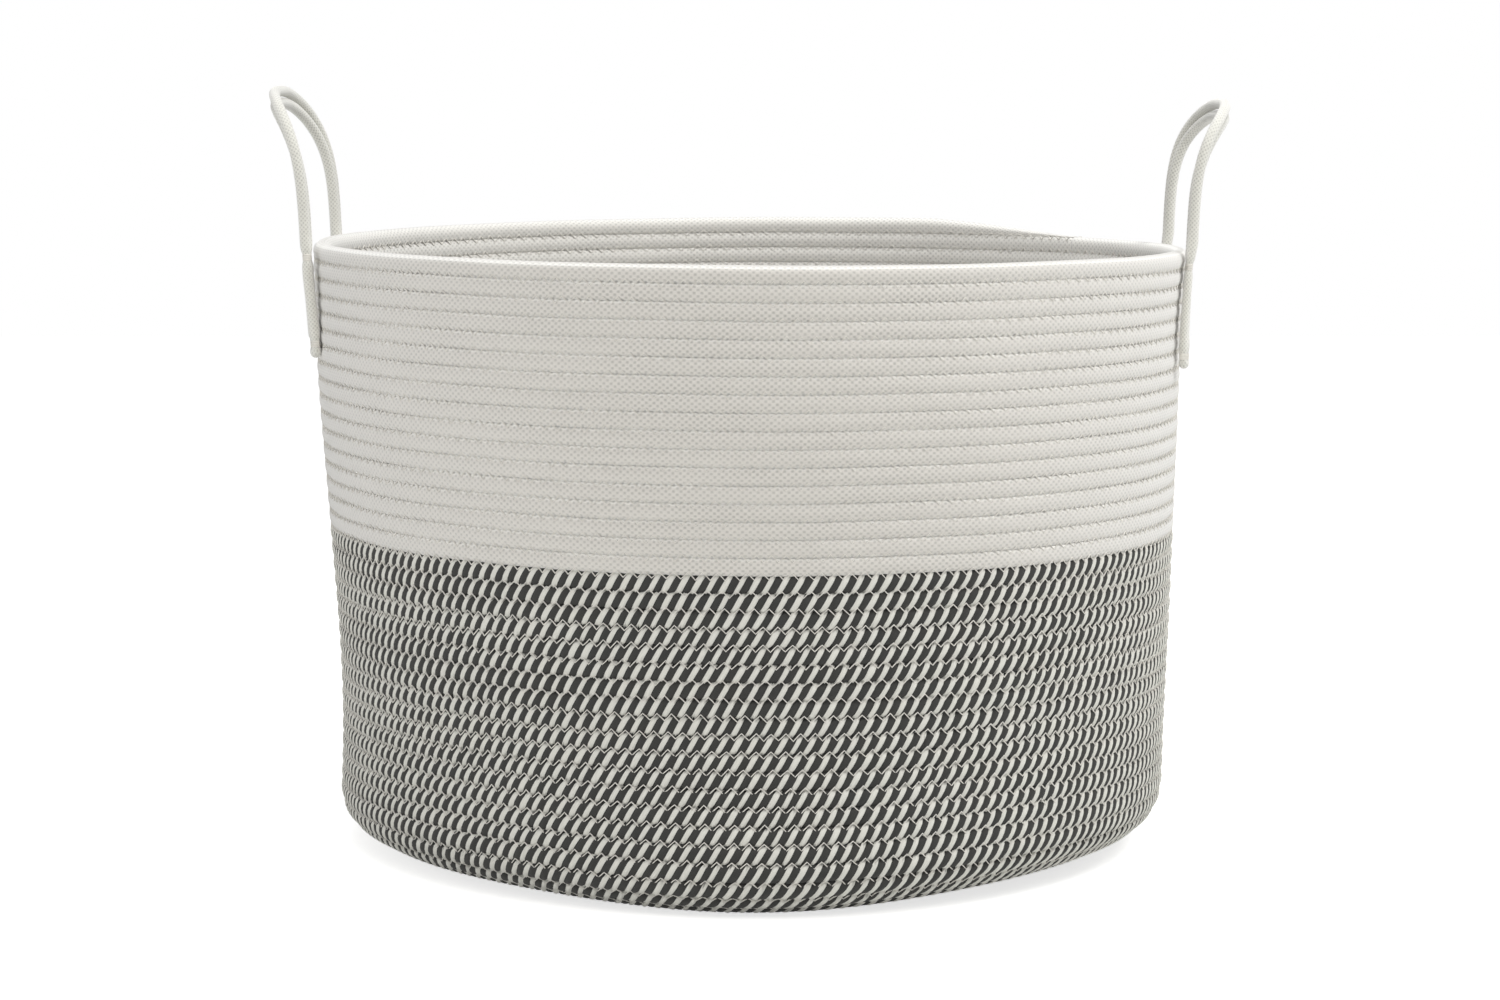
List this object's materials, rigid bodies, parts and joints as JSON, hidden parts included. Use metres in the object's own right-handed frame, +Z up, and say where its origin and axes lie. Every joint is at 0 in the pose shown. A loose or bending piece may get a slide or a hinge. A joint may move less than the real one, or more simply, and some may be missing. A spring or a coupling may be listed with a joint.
{
  "type": "coiled rope laundry basket",
  "caption": "Round open laundry basket coiled and sewn from cotton rope, two-tone below and white above, with a rope loop handle on each side.",
  "frame": {"origin": "centre of the underside, on the floor", "axes": "+Z up along the basket's axis, X through the two handles, -Y to the front"},
  "size_m": [0.5458, 0.5, 0.4378],
  "materials": {
    "two_tone_rope": "twisted cotton rope, charcoal and off-white strands, matte",
    "white_rope": "braided cotton rope, natural white, matte",
    "handle_rope": "braided cotton rope, natural white, matte",
    "sewing_thread": "spun polyester thread, off-white, matte",
    "lashing_thread": "spun polyester thread, off-white, matte"
  },
  "bodies": {
    "root": {"base_coil": "two_tone_rope", "base_stitching": "sewing_thread", "turn_up_coil": "two_tone_rope", "turn_up_stitching": "sewing_thread", "lower_wall_coil": "two_tone_rope", "lower_wall_stitching": "sewing_thread", "upper_wall_coil": "white_rope", "upper_wall_stitching": "sewing_thread", "rim_coil": "white_rope", "rim_stitching": "sewing_thread", "left_front_tab": "handle_rope", "left_front_tab_lashing": "lashing_thread", "left_back_tab": "handle_rope", "left_back_tab_lashing": "lashing_thread", "right_front_tab": "handle_rope", "right_front_tab_lashing": "lashing_thread", "right_back_tab": "handle_rope", "right_back_tab_lashing": "lashing_thread"},
    "left_handle": {"left_handle_outer_strand": "handle_rope", "left_handle_inner_strand": "handle_rope"},
    "right_handle": {"right_handle_outer_strand": "handle_rope", "right_handle_inner_strand": "handle_rope"}
  },
  "joints": [
    {"name": "left_handle_fold", "type": "hinge", "parent": "root", "child": "left_handle", "pos_m": [-0.2468, 0, 0.34916], "axis": [0, -1, 0], "range_deg": [-60, 100]},
    {"name": "right_handle_fold", "type": "hinge", "parent": "root", "child": "right_handle", "pos_m": [0.2468, 0, 0.34916], "axis": [0, 1, 0], "range_deg": [-60, 100]}
  ]
}
